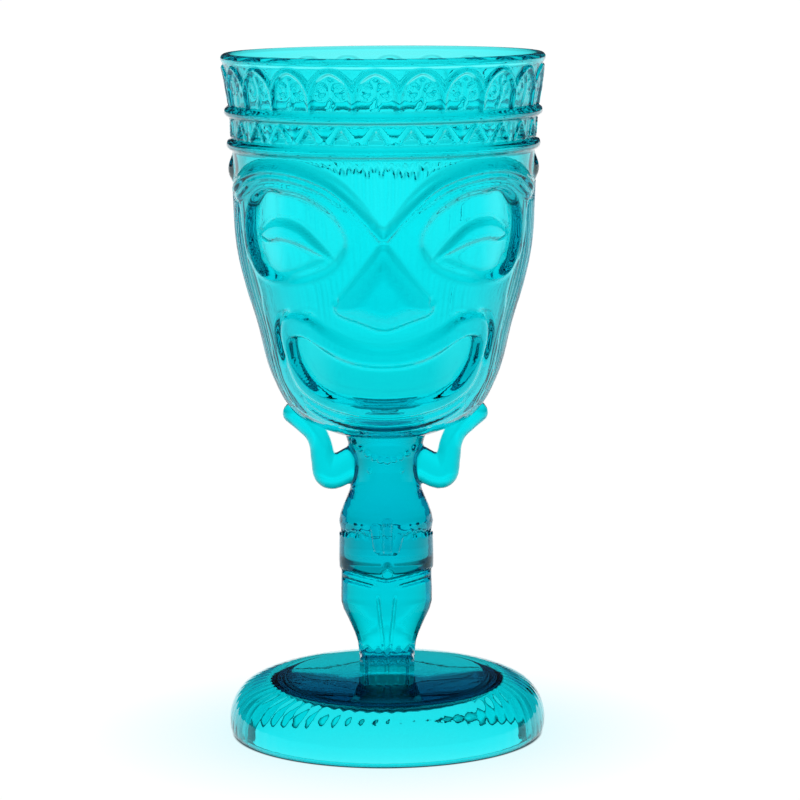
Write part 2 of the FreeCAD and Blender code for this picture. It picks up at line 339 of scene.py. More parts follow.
# How far each part of the face stands out of the bowl, or is cut into it
MASK_RELIEF = 1.25
BROW_RELIEF = 1.25
SOCKET_CUT, OUTER_SOCKET_CUT = 1.3, 0.9             # the second is added towards the temple
EYE_RELIEF = 1.15
LID_CUT = 0.4
CORNER_CUT = 0.9
BAG_RELIEF = 0.55
NOSE_EDGE_RELIEF, NOSE_RIDGE_RELIEF = 1.0, 1.3
CREST_RELIEF = 0.3
NOSTRIL_CUT = 1.0
LIP_RELIEF = 1.15
LIP_CORNER_CUT = 1.3
MOUTH_CUT, MOUTH_CORNER_CUT = 1.15, 1.25            # the second is added towards the corner
CREASE_CUT = 0.9
CHIN_LINES = ((1.3, 0.35), (3.2, 0.3))              # (drop below the lips, stand-out)
EAR_RELIEF = 1.3


def bowl_profile(level):
    """Outside radius of the plain bowl at a height."""
    path = smooth_path(BOWL_OUTLINE, 12)
    return np.interp(level, path[:, 1], path[:, 0])


def across_motif(angle, radius, count):
    """Distance sideways from the middle of the nearest of count equal motifs round a band."""
    pitch = 2 * math.pi / count
    turn = (angle - BAND_TURN) / pitch
    return (turn - np.round(turn)) * pitch * radius


def leaf_relief(angle, level, radius):
    """Pointed leaves with a raised edge, a middle vein and two curls."""
    across = across_motif(angle, radius, LEAVES)
    side = np.abs(across)
    half = math.pi / LEAVES * float(bowl_profile(170.0))
    edge = smooth_path([(share * half, top) for share, top in LEAF_EDGE])
    distance, _ = path_distance(side, level, edge)
    height = 0.72 * ridge(distance, 1.0)
    limit = np.interp(level, edge[:, 1], edge[:, 0])
    field = ease(limit - side, 0.3, 1.4)
    vein, _ = path_distance(across, level, smooth_path(LEAF_VEIN))
    height += 0.35 * ridge(vein, 0.6) * field
    turns = np.linspace(0, 2.1 * math.pi, 26)
    size = 1.8 - 0.42 * turns / math.pi
    for sign in (-1, 1):
        curl = np.stack([sign * (CURL_MIDDLE[0] + size * np.cos(turns)),
                         CURL_MIDDLE[1] + 1.1 * size * np.sin(turns)], 1)
        height += 0.26 * ridge(path_distance(across, level, curl)[0], 0.75) * field
    return (height - 0.22 * field) * (1 - ease(level, 174.6, 175.6))


def triangle_relief(angle, level, radius):
    """Row of sunk triangles with raised sides and fine upright lines between them."""
    side = np.abs(across_motif(angle, radius, TRIANGLES))
    distance, _ = path_distance(side, level, np.array(TRIANGLE_SIDE))
    height = 0.5 * ridge(distance, 0.62)
    height -= 0.6 * ease(depth_inside(side, level, np.array(TRIANGLE_HOLLOW)), 0.0, 0.5)
    band = ease(level, 156.8, 157.3) * (1 - ease(level, 161.0, 161.5))
    for offset in LINES_BETWEEN:
        height += 0.22 * ridge(np.abs(side - offset), 0.33) * band
    return height


def hair_edge():
    """Jagged top edge of the hair round the back, as (distance from the back middle, level)."""
    index = np.arange(HAIR_POINTS)
    high = HAIR_TOP - 0.9 * hash_noise(index, 5)
    low = HAIR_NOTCH - 2.9 * hash_noise(index, 3) ** 1.5
    across = (index - HAIR_POINTS // 2) * HAIR_PITCH + 0.5 * (hash_noise(index, 8) - 0.5)
    return np.stack([across, np.where(index % 2, low, high)], 1)


def hair_relief(angle, level):
    """Upright flutes round the back, under a jagged cut."""
    place = angle / (2 * math.pi) * HAIR_FLUTES
    index = np.floor(place)
    edge = hair_edge()
    across = (np.mod(angle, 2 * math.pi) - math.pi) * float(bowl_profile(145.0))
    top = np.interp(across, edge[:, 0], edge[:, 1])
    below = 1 - ease(level, top - 0.3, top + 0.3)
    strength = 0.24 * (0.55 + 0.6 * hash_noise(index, 9)) * (0.35 + 0.65 * ease(level, 84.0, 140.0))
    wave = np.cos(2 * math.pi * (place + 0.25 * value_noise(level * 0.09 + index * 7.3, 2)))
    height = below * (0.35 + strength * wave)
    upper = level > 140.5
    distance, _ = path_distance(across[upper], level[upper], edge)
    height[upper] -= 0.85 * ridge(distance, 0.62)
    return height


def brow_relief(side, level):
    """Arched brow with grooves along it, wider away from the nose."""
    distance, along = path_distance(side, level, smooth_path(BROW))
    width = 1.2 + 2.2 * ease(along, 0.0, 0.45)
    grooves = 0.72 + 0.28 * np.cos(2 * math.pi * distance / 1.9)
    return BROW_RELIEF * ridge(distance, width) * np.where(along > 0.12, grooves, 1.0)


def eye_relief(side, level):
    """Sunk socket with a teardrop eye, the line of its lid, a dot at its corner and the bag below."""
    socket = depth_inside(side, level, smooth_loop(SOCKET))
    outer = ease(side, 24.0, 31.0)
    height = -(SOCKET_CUT + OUTER_SOCKET_CUT * outer) * ease(socket, 0.0, 2.6 - 1.75 * outer)
    eye = depth_inside(side, level, smooth_loop(EYE))
    height += EYE_RELIEF * ease(eye, -0.3, 1.7)
    lid, _ = path_distance(side, level, smooth_path(EYE[:6]))
    height -= LID_CUT * ridge(lid, 0.55)
    corner = np.hypot(side - EYE_CORNER[0], level - EYE_CORNER[1])
    height -= CORNER_CUT * ridge(corner, 0.85)
    bag, _ = path_distance(side, level, smooth_path(BAG))
    return height + BAG_RELIEF * ridge(bag, 1.5)


def nose_relief(x, level):
    """Wedge of a nose with a crest down each side and a dot for each nostril."""
    side = np.abs(x)
    nose = depth_inside(x, level, mirror_loop(NOSE))
    height = NOSE_EDGE_RELIEF * ease(nose, -0.5, 0.9) + NOSE_RIDGE_RELIEF * ease(nose, 0.6, 5.0)
    crest, _ = path_distance(side, level, smooth_path(NOSE[:5]))
    height += CREST_RELIEF * ridge(crest, 0.75)
    nostril = np.hypot(side - NOSTRIL[0], level - NOSTRIL[1])
    return height - NOSTRIL_CUT * ridge(nostril, 0.9)


def mouth_relief(x, level):
    """Laughing mouth sunk in full lips, with a crease above its corner and two lines below."""
    side = np.abs(x)
    lips = depth_inside(x, level, mirror_loop(LIPS))
    height = LIP_RELIEF * ease(lips, -0.2, 1.5)
    rim = ease(side, 22.5, 24.5) * ease(level, 99.0, 104.0)
    height -= LIP_CORNER_CUT * notch(np.abs(lips + 0.3), 0.8) * rim
    mouth = depth_inside(x, level, mirror_loop(MOUTH))
    corner = ease(side, 11.0, 20.0)
    height -= (MOUTH_CUT + MOUTH_CORNER_CUT * corner) * ease(mouth, -0.1, 1.9 - 1.1 * corner)
    crease = np.hypot((side - CREASE[0]) / 2.4, (level - CREASE[1]) / 0.8)
    height -= CREASE_CUT * ridge(crease, 1.0)
    for drop, size in CHIN_LINES:
        chin = smooth_path([(across, lips_end - drop) for across, lips_end in CHIN_LINE])
        height += size * ridge(path_distance(side, level, chin)[0], 0.8)
    return height


def face_relief(x, level):
    """The carved face; x is the distance from the middle, and both halves are alike."""
    side = np.abs(x)
    mask = depth_inside(x, level, mirror_loop(MASK))
    return (MASK_RELIEF * ease(mask, -0.2, 1.3) + brow_relief(side, level) + eye_relief(side, level)
            + nose_relief(x, level) + mouth_relief(x, level))


def bowl_relief(angle, level, radius):
    """How far each place of the outside stands out of the plain bowl."""
    x = radius * np.sin(angle)
    height = np.zeros(angle.shape)
    for middle, half, size in BEADS:
        height += size * np.sqrt(np.clip(1 - ((level - middle) / half) ** 2, 0, 1))
    upper = level > 164.6
    height[upper] += leaf_relief(angle[upper], level[upper], radius[upper])
    middle_band = (level > 156.4) & (level < 161.9)
    height[middle_band] += triangle_relief(angle[middle_band], level[middle_band], radius[middle_band])
    front = (np.cos(angle) > 0.05) & (level > 79.0) & (level < 154.0)
    carved = np.zeros(angle.shape)
    carved[front] = face_relief(x[front], level[front])
    height += carved * ease(np.cos(angle), 0.05, 0.2)
    back = (np.abs(angle) > HAIR_SIDE[0]) & (level < 150.0) & (carved < 0.02)
    fade = ease(level, 80.0, 86.0)
    height[back] += (hair_relief(angle[back], level[back])
                     * ease(np.abs(angle[back]), *HAIR_SIDE) * fade[back])
    ear = np.hypot((np.abs(angle) - EAR_TURN) * radius / EAR_SIZE[0], (level - EAR_LEVEL) / EAR_SIZE[1])
    height += EAR_RELIEF * ridge(ear, 1.0)
    return height


# Spacing of the bowl's rings: (up to this level, step along the outline)
ROW_STEPS = [(82.0, 1.6), (142.6, 0.66), (149.0, 0.34), (153.0, 0.66), (180.0, 0.44)]


def column_angles(settings):
    """Angles round the bowl, 0 at the front; closer together across the face and the hair."""
    fine = np.linspace(-math.pi, math.pi, 4001)
    density = 1.0 + 0.45 * (np.cos(fine) > -0.05) + 0.6 * (np.cos(fine) < -0.8)
    total = np.concatenate([[0], np.cumsum((density[1:] + density[:-1]) / 2)])
    return np.interp(np.arange(settings.bowl_columns) / settings.bowl_columns * total[-1], total, fine)


def bowl_rows():
    """Rings of the bowl as (radius, level, outward radius part, outward level part, relief share)."""
    path = smooth_path(BOWL_OUTLINE, 40)
    run = np.concatenate([[0], np.cumsum(np.hypot(*np.diff(path, axis=0).T))])
    stops, place = [], 1.0
    while place < run[-1]:
        stops.append(place)
        level = np.interp(place, run, path[:, 1])
        place += next(step for top, step in ROW_STEPS if level < top)
    stops.append(run[-1])
    rows = []
    for s in stops:
        radius, level = np.interp(s, run, path[:, 0]), np.interp(s, run, path[:, 1])
        ahead = (np.interp(s + 0.3, run, path[:, 0]), np.interp(s + 0.3, run, path[:, 1]))
        behind = (np.interp(s - 0.3, run, path[:, 0]), np.interp(s - 0.3, run, path[:, 1]))
        dr, dz = ahead[0] - behind[0], ahead[1] - behind[1]
        length = math.hypot(dr, dz)
        rows.append((radius, level, dz / length, -dr / length, 1.0))
    return rows


def lip_and_inside(wall):
    """Rings of the round lip and the smooth inside, from the rim down to near the axis."""
    middle, half = RIM_RADIUS - wall / 2, wall / 2
    rows = [(RIM_RADIUS - 0.35, LIP_LEVEL - 0.75, 1, 0, 0)]
    for i in range(13):
        turn = math.pi * i / 12
        rows.append((middle + half * math.cos(turn), LIP_LEVEL + half * math.sin(turn), 1, 0, 0))
    path = smooth_path(BOWL_OUTLINE, 12)
    inner = []
    for before, here, after in zip(path[:-2], path[1:-1], path[2:]):
        dr, dz = after - before
        length = math.hypot(dr, dz)
        inner.append((here[0] - wall * dz / length, here[1] + wall * dr / length))
    inner = np.array([p for p in inner if p[0] > 0.5])
    run = np.concatenate([[0], np.cumsum(np.hypot(*np.diff(inner, axis=0).T))])
    for s in np.linspace(run[-1] - 1.5, 1.5, 30):
        rows.append((np.interp(s, run, inner[:, 0]), np.interp(s, run, inner[:, 1]), 1, 0, 0))
    return rows


class GOBLET_OT_bowl(bpy.types.Operator):
    """Build the carved-face cup with its patterned bands"""
    bl_idname = "goblet.bowl"
    bl_label = "Bowl"

    def execute(self, context):
        settings = context.scene.goblet
        angles = column_angles(settings)
        rows = bowl_rows() + lip_and_inside(settings.wall)
        table = np.array(rows)
        angle = np.broadcast_to(angles, (len(rows), len(angles)))
        radius = np.broadcast_to(table[:, 0:1], angle.shape).copy()
        level = np.broadcast_to(table[:, 1:2], angle.shape).copy()
        relief = np.zeros(angle.shape)
        carved = table[:, 4] > 0
        relief[carved] = bowl_relief(angle[carved], level[carved], radius[carved]) * settings.relief
        radius = radius + relief * table[:, 2:3]
        level = level + relief * table[:, 3:4]
        points = np.stack([radius * np.sin(angle), -radius * np.cos(angle), level], -1)
        start = (0, 0, BOWL_OUTLINE[0][1])
        end = (0, 0, rows[-1][1] - 0.05)
        material = clear_plastic("bowl_plastic", settings, 90.0, 0.12)
        replace_node(ring_mesh("face_cup", points, start, end, material), "bowl")
        return {"FINISHED"}


# ---------------------------------------------------------------- figure
# Half width and half depth of the body at each height
BODY = [(16.5, 7.0, 5.2), (20.0, 7.2, 4.9), (23.9, 7.7, 4.9), (26.1, 8.4, 5.0), (28.2, 9.3, 5.3),
        (30.4, 10.3, 5.7), (32.5, 11.3, 6.0), (34.6, 11.9, 6.3), (38.0, 11.9, 6.6), (41.0, 11.8, 6.8),
        (43.2, 11.8, 7.6), (45.5, 11.9, 9.4), (48.0, 11.9, 10.0), (52.0, 11.8, 10.2), (53.9, 11.9, 10.2),
        (56.0, 12.3, 10.2), (58.1, 11.9, 10.0), (60.3, 11.1, 9.6), (62.4, 10.2, 9.2), (64.5, 9.4, 8.8),
        (67.0, 8.9, 8.4), (70.0, 8.7, 8.1), (73.0, 8.8, 8.0), (77.0, 9.9, 8.2), (82.0, 11.5, 9.0),
        (90.0, 13.0, 10.0)]
# Middle line of the arm and its half width: shoulder, elbow, wrist, hand
ARM = [(5.0, 73.4, 4.4), (10.0, 70.6, 4.2), (14.5, 68.7, 4.05), (16.2, 72.5, 3.25), (17.0, 76.5, 2.9),
       (18.4, 79.6, 2.8), (21.2, 82.0, 2.5), (24.1, 84.6, 2.6)]
ARM_DEPTH = 4.2
ARM_ROUND = 3.1                                     # rounding of the arm's edges, front and back
SKIRT_GROW = 0.45                                   # how far the skirt stands out of the body
BELT_LEVEL = 52.4
ANKLE_LEVEL = 22.4
LEG_GROOVE = ([23.0, 37.0], [0.95, 2.35])           # levels, and distance from the middle there
NAVEL_RISE = 3.4                                    # above the middle of the hem
BEAD_PITCH = 1.72
CHEST_DOT = (4.1, 70.3, 0.6)
TOE_PLACE = (3.45, -2.6, 18.6)                      # middle of the right foot
# Lobes of the belt knot: top end, bottom end as (x, z), and radius
KNOT = (((0.4, 57.0), (0.3, 50.2), 1.35), ((-3.0, 55.6), (-2.2, 50.4), 1.15),
        ((3.4, 53.4), (2.6, 50.2), 1.1), ((-1.6, 49.6), (2.2, 49.6), 0.9))
FIGURE_LOW = np.array([-28.0, -13.6, 15.5])         # corners of the space that the figure is in
FIGURE_HIGH = np.array([28.0, 12.4, 89.5])


def body_section(z):
    """Half width and half depth of the plain body at a height."""
    table = np.array(BODY)
    return np.interp(z, table[:, 0], table[:, 1]), np.interp(z, table[:, 0], table[:, 2])


def hem_level(x):
    """Lower edge of the skirt, lowest in the middle."""
    return 41.1 + 0.19 * np.abs(x)


def body_distance(x, y, z):
    """Body with its wrap skirt and the lines cut into it, as a rough distance from its surface."""
    half_width, half_depth = body_section(z)
    skirt = ease(z, hem_level(x) - 0.3, hem_level(x) + 0.5)
    zigzag = np.abs((x * 0.42 + 0.6 * np.sin(x * 1.7)) % 1.0 - 0.5) * 1.7
    belt = BELT_LEVEL + zigzag
    skirt *= 1 - ease(z, belt, belt + 0.5)
    grow = SKIRT_GROW * skirt
    half_width, half_depth = half_width + grow, half_depth + grow
    radial = np.sqrt((x / half_width) ** 2 + (y / half_depth) ** 2)
    distance = (radial - 1) * np.minimum(half_width, half_depth)
    front = ease(-y, 1.0, 4.0)
    groove = np.abs(np.abs(x) - np.interp(z, *LEG_GROOVE))
    reach = ease(z, 19.0, 21.0) * (1 - ease(z, 34.5, 37.5))
    distance += 1.7 * notch(groove, 0.6) * front * reach
    distance += 0.9 * notch(np.abs(z - belt - 0.6), 0.65) * front
    ankle = np.abs(z - ANKLE_LEVEL - 0.5 * np.sin(2.3 * x + 0.6))
    distance += 0.7 * notch(ankle, 0.5) * front
    fold = np.abs(z - hem_level(x) + 2.2)
    distance += 1.1 * notch(fold, 0.65) * ease(np.abs(x), 2.0, 5.0) * front
    distance += 1.2 * notch(np.abs(z - hem_level(x)), 0.7) * front
    navel = np.hypot(x - 0.3, (z - hem_level(0) - NAVEL_RISE) / 1.4)
    distance += 2.4 * notch(navel, 1.7) * front
    return distance


def bead_places():
    """Middle, in x, z, and size of each bead of the necklace and of the two chest dots."""
    places = [(0.45 + i * BEAD_PITCH, 73.1 + 0.062 * (i * BEAD_PITCH) ** 2, 1.0 if i in (-1, 0) else 0.85)
              for i in range(-5, 5)]
    across, level, size = CHEST_DOT
    return places + [(-across, level, size), (across, level, size)]


def surface_y(x, z):
    """Front of the body at (x, z)."""
    half_width, half_depth = body_section(z)
    return -half_depth * math.sqrt(max(1 - (x / half_width) ** 2, 0.02))


def arm_distance(x, y, z):
    """Raised arm with a mitten hand, flat front to back with rounded edges."""
    table = np.array(ARM)
    best = np.full(x.shape, 1e9)
    path = smooth_path(table, 6)
    side = np.abs(x)
    for (ax, az, ar), (bx, bz, br) in zip(path[:-1], path[1:]):
        dx, dz = bx - ax, bz - az
        t = np.clip(((side - ax) * dx + (z - az) * dz) / (dx * dx + dz * dz), 0, 1)
        best = np.minimum(best, np.hypot(side - ax - t * dx, z - az - t * dz) - (ar + t * (br - ar)))
    outline = best + ARM_ROUND
    depth = np.abs(y) - ARM_DEPTH + ARM_ROUND
    outside = np.hypot(np.maximum(outline, 0), np.maximum(depth, 0))
    return outside + np.minimum(np.maximum(outline, depth), 0) - ARM_ROUND


def capsule_distance(x, y, z, start, end, radius):
    """Distance from a rod with round ends."""
    ax, ay, az = start
    dx, dy, dz = end[0] - ax, end[1] - ay, end[2] - az
    length = dx * dx + dy * dy + dz * dz + 1e-9
    t = np.clip(((x - ax) * dx + (y - ay) * dy + (z - az) * dz) / length, 0, 1)
    return np.sqrt((x - ax - t * dx) ** 2 + (y - ay - t * dy) ** 2 + (z - az - t * dz) ** 2) - radius


def blend_union(a, b, reach):
    """Both solids in one, with a fillet where they meet."""
    t = np.clip(0.5 + 0.5 * (b - a) / reach, 0, 1)
    return b + (a - b) * t - reach * t * (1 - t)


def feet_distance(x, y, z):
    """Two blunt feet with rounded toes that stand forward of the legs."""
    best = np.full(x.shape, 1e9)
    apart, back, low = TOE_PLACE
    for sign in (-1, 1):
        across = x - sign * apart
        toes = 0.35 * np.cos(across * 2.6)
        box = [np.abs(across) - 2.2, np.abs(y - back) - 4.6 - toes, np.abs(z - low) - 1.4 - 0.25 * toes]
        outside = np.sqrt(sum(np.maximum(side, 0) ** 2 for side in box))
        inside = np.minimum(np.maximum(np.maximum(box[0], box[1]), box[2]), 0)
        best = np.minimum(best, outside + inside - 1.5)
    return best


def figure_distance(x, y, z):
    """The whole figure, cut off where it meets the cup and the foot."""
    distance = body_distance(x, y, z)
    distance = blend_union(distance, arm_distance(x, y, z), 1.2)
    distance = blend_union(distance, feet_distance(x, y, z), 0.6)
    for bead_x, bead_z, size in bead_places():
        bead = np.sqrt((x - bead_x) ** 2 + (y - surface_y(bead_x, bead_z)) ** 2 + (z - bead_z) ** 2) - size
        distance = blend_union(distance, bead, 0.1)
    for start, end, size in KNOT:
        lobe = capsule_distance(x, y, z, (start[0], surface_y(*start) - 0.7, start[1]),
                                (end[0], surface_y(*end) - 1.5, end[1]), size)
        distance = blend_union(distance, lobe, 0.15)
    path = smooth_path(BOWL_OUTLINE, 12)
    radial = np.hypot(x, y)
    under = np.interp(radial, path[:, 0], path[:, 1])
    slope = np.gradient(path[:, 1], path[:, 0])
    steep = np.interp(radial, path[:, 0], slope)
    above_bowl = (z - under) / np.sqrt(1 + steep ** 2) - BOND
    distance = np.maximum(distance, above_bowl)
    seat = FOOT_OUTLINE[0][1] - BOND
    return np.maximum(distance, seat - z)


def surface_net(field, low, step):
    """Closed quad mesh where a field sampled on a grid changes sign."""
    inside = field < 0
    shape = np.array(field.shape)
    corner = np.stack(np.meshgrid([0, 1], [0, 1], [0, 1], indexing="ij"), -1).reshape(-1, 3)
    cells = shape - 1
    count = np.zeros(cells, int)
    for dx, dy, dz in corner:
        count += inside[dx:dx + cells[0], dy:dy + cells[1], dz:dz + cells[2]]
    active = (count > 0) & (count < 8)
    number = -np.ones(cells, int)
    index = np.argwhere(active)
    number[active] = np.arange(len(index))
    total = np.zeros((len(index), 3))
    hits = np.zeros(len(index))
    for a in range(8):
        for b in range(a + 1, 8):
            if np.abs(corner[a] - corner[b]).sum() != 1:
                continue
            fa = field[tuple((index + corner[a]).T)]
            fb = field[tuple((index + corner[b]).T)]
            crosses = (fa < 0) != (fb < 0)
            t = np.where(crosses, fa / np.where(crosses, fa - fb, 1), 0)
            place = corner[a] + t[:, None] * (corner[b] - corner[a])
            total += np.where(crosses[:, None], place, 0)
            hits += crosses
    points = low + (index + total / hits[:, None]) * step
    faces = []
    for axis in range(3):
        u, v = [k for k in range(3) if k != axis]
        first = [slice(None)] * 3
        second = [slice(None)] * 3
        first[axis], second[axis] = slice(0, -1), slice(1, None)
        change = inside[tuple(first)] != inside[tuple(second)]
        edges = np.argwhere(change)
        edges = edges[(edges[:, u] > 0) & (edges[:, v] > 0)
                      & (edges[:, u] < cells[u]) & (edges[:, v] < cells[v])]
        goes_out = inside[tuple(edges.T)]
        ring = []
        for du, dv in ((0, 0), (1, 0), (1, 1), (0, 1)):
            cell = edges.copy()
            cell[:, u] -= du
            cell[:, v] -= dv
            ring.append(number[tuple(cell.T)])
        quads = np.stack(ring, 1)
        flip = goes_out if axis != 1 else ~goes_out
        quads[~flip] = quads[~flip][:, ::-1]
        faces.append(quads)
    return points, np.vstack(faces)


def settle(points, distance, step, rounds=4):
    """Points moved onto the surface where the distance is zero."""
    gap = step * 0.25
    for _ in range(rounds):
        x, y, z = points.T
        value = distance(x, y, z)
        slope = np.stack([distance(x + gap, y, z) - distance(x - gap, y, z),
                          distance(x, y + gap, z) - distance(x, y - gap, z),
                          distance(x, y, z + gap) - distance(x, y, z - gap)], 1) / (2 * gap)
        size = np.maximum((slope ** 2).sum(1), 0.15)
        move = -slope * (value / size)[:, None]
        length = np.linalg.norm(move, axis=1, keepdims=True)
        points = points + 0.7 * move * np.minimum(1, 0.4 * step / np.maximum(length, 1e-9))
    return points


class GOBLET_OT_figure(bpy.types.Operator):
    """Build the standing figure that holds the cup up"""
    bl_idname = "goblet.figure"
    bl_label = "Stem figure"

    def execute(self, context):
        settings = context.scene.goblet
        step = settings.figure_step / (1000 * MM)
        axes = [np.arange(low, high, step) for low, high in zip(FIGURE_LOW, FIGURE_HIGH)]
        x, y, z = np.meshgrid(*axes, indexing="ij")
        field = figure_distance(x.ravel(), y.ravel(), z.ravel()).reshape(x.shape)
        points, faces = surface_net(field, FIGURE_LOW, step)
        points = settle(points, figure_distance, step)
        material = clear_plastic("figure_plastic", settings, 160.0, 0.12)
        replace_node(add_mesh("standing_figure", points, faces.tolist(), material), "stem_figure")
        return {"FINISHED"}


# ---------------------------------------------------------------- foot
FOOT_OUTLINE = [(0.0, 17.0), (6.0, 17.0), (10.0, 16.98), (20.0, 16.55), (26.0, 15.9), (30.0, 15.2),
                (34.0, 14.0), (37.4, 12.2), (39.6, 9.8), (40.9, 7.0), (41.4, 4.2), (41.2, 1.4),
                (40.4, 0.0)]
FOOT_HOLLOW = [(38.0, 0.0), (37.6, 3.0), (36.4, 6.5), (34.0, 9.2), (30.8, 11.0), (28.4, 11.2),
               (26.6, 10.4), (26.0, 9.6)]
HUB_LEVEL = 9.0
FLUTES = 72
FLUTE_DEPTH = 0.065
FLUTE_LEAN = math.radians(10)                       # turn of a flute from the shoulder to the base


class GOBLET_OT_foot(bpy.types.Operator):
    """Build the domed foot with its leaning flutes"""
    bl_idname = "goblet.foot"
    bl_label = "Foot"

    def execute(self, context):
        settings = context.scene.goblet
        columns = FLUTES * settings.foot_columns
        angle = np.linspace(0, 2 * math.pi, columns, endpoint=False)
        round_part, front_part = np.sin(angle), -np.cos(angle)
        rows = []
        for radius, level in smooth_path(FOOT_OUTLINE[1:], 7):
            share = ease(radius, 26.0, 40.5) * ease(level, 0.2, 2.2)
            place = (angle + FLUTE_LEAN * (radius - 25) / 16) * FLUTES / (2 * math.pi)
            depth = FLUTE_DEPTH * (0.6 + 0.7 * hash_noise(np.floor(place) % FLUTES, 4))
            cut = share * settings.relief * depth * (0.5 + 0.5 * np.cos(2 * math.pi * place)) ** 1.5
            reach = radius - cut * 0.5
            height = level - cut * 0.8 * ease(level, 3.0, 9.0)
            rows.append(np.stack([reach * round_part, reach * front_part, height], 1))
        hub = [(25.4, HUB_LEVEL + 0.2), (24.8, HUB_LEVEL), (12.0, HUB_LEVEL)]
        for radius, level in list(smooth_path(FOOT_HOLLOW, 6)) + hub:
            rows.append(np.stack([radius * round_part, radius * front_part, np.full(columns, level)], 1))
        material = clear_plastic("foot_plastic", settings, 120.0, 0.12)
        piece = ring_mesh("fluted_foot", np.array(rows[::-1]), (0, 0, HUB_LEVEL),
                          (0, 0, FOOT_OUTLINE[0][1]), material)
        replace_node(piece, "foot")
        return {"FINISHED"}


# ---------------------------------------------------------------- stage
FLOOR_HALF = 40.0                                   # metres, like the other sizes of the stage
FLOOR_GAP = 0.0002                                  # below the foot
FLOOR_REACH = 2.5                                   # over which the floor's light changes
PAINTED_SPILL_REACH = 1.9                                   # end of the painted cyan glow round the foot, in foot radii
CONTACT_SHADOW_RADIUS = 0.957                              # of the foot's radius, where the painted shadow ring lies under its base ring
CONTACT_SHADOW_WIDTH = (0.0006, 0.0013)                    # painted shadow dark up to the first, gone at the second
CORNER_START = (0.05, 0.3)                          # where the floor's corners begin to darken
CAMERA_TARGET = (0.0215, 0.493)                     # sideways and up, in goblet heights
CAMERA_DISTANCE = 4.934                             # in goblet heights
CAMERA_LENS = 151.8


def corner_shade(tree, place, amount):
    """1 straight ahead, behind and to the sides, falling by amount towards the room's four corners."""
    parts = tree.nodes.new("ShaderNodeSeparateXYZ")
    tree.links.new(place, parts.inputs[0])
    x, y = parts.outputs["X"], parts.outputs["Y"]
    square = math_node(tree, "ADD", math_node(tree, "MULTIPLY", x, x), math_node(tree, "MULTIPLY", y, y))
    twist = math_node(tree, "DIVIDE", math_node(tree, "MULTIPLY", x, y), square)
    share = math_node(tree, "MULTIPLY", math_node(tree, "MULTIPLY", twist, twist), 4.0)
    return math_node(tree, "SUBTRACT", 1.0, math_node(tree, "MULTIPLY", share, amount))


def floor_and_painted_spill_colour(tree, reach, settings):
    """Colour of the floor's light: a painted glow in the plastic's cyan near the foot, white further out."""
    radius = FOOT_RADIUS * MM
    share = range_node(tree, reach, {"From Min": radius, "From Max": PAINTED_SPILL_REACH * radius})
    ramp = tree.nodes.new("ShaderNodeValToRGB")
    ramp.color_ramp.elements[0].color = (*settings.painted_spill, 1)
    ramp.color_ramp.elements[1].color = (1, 1, 1, 1)
    tree.links.new(share, ramp.inputs[0])
    return ramp.outputs[0]


def floor_light(tree, place, reach, settings):
    """Strength of the floor's light: even when seen directly, uneven when seen through the plastic."""
    far = tree.nodes.new("ShaderNodeValToRGB")
    far.color_ramp.elements[0].color = (0.96, 0.96, 0.96, 1)
    for distance, level in ((0.15, 1.0), (0.45, settings.floor_near), (1.2, 1.04)):
        stop = far.color_ramp.elements.new(distance / FLOOR_REACH)
        stop.color = (level, level, level, 1)
    tree.links.new(range_node(tree, reach, {"From Max": FLOOR_REACH}), far.inputs[0])
    corners = range_node(tree, reach, {"From Min": CORNER_START[0], "From Max": CORNER_START[1],
                                       "To Max": settings.corner_shade})
    shaded = math_node(tree, "MULTIPLY", far.outputs[0], corner_shade(tree, place, corners))
    path = tree.nodes.new("ShaderNodeLightPath")
    return range_node(tree, path.outputs["Is Transmission Ray"],
                      {"To Min": settings.floor_glow, "To Max": shaded})


def painted_contact_shadow(tree, reach):
    """Painted contact shadow: 0 on a narrow ring under the edge of the foot, and 1 elsewhere."""
    off_ring = math_node(tree, "SUBTRACT", reach, CONTACT_SHADOW_RADIUS * FOOT_RADIUS * MM)
    return range_node(tree, math_node(tree, "ABSOLUTE", off_ring),
                      {"From Min": CONTACT_SHADOW_WIDTH[0], "From Max": CONTACT_SHADOW_WIDTH[1]})


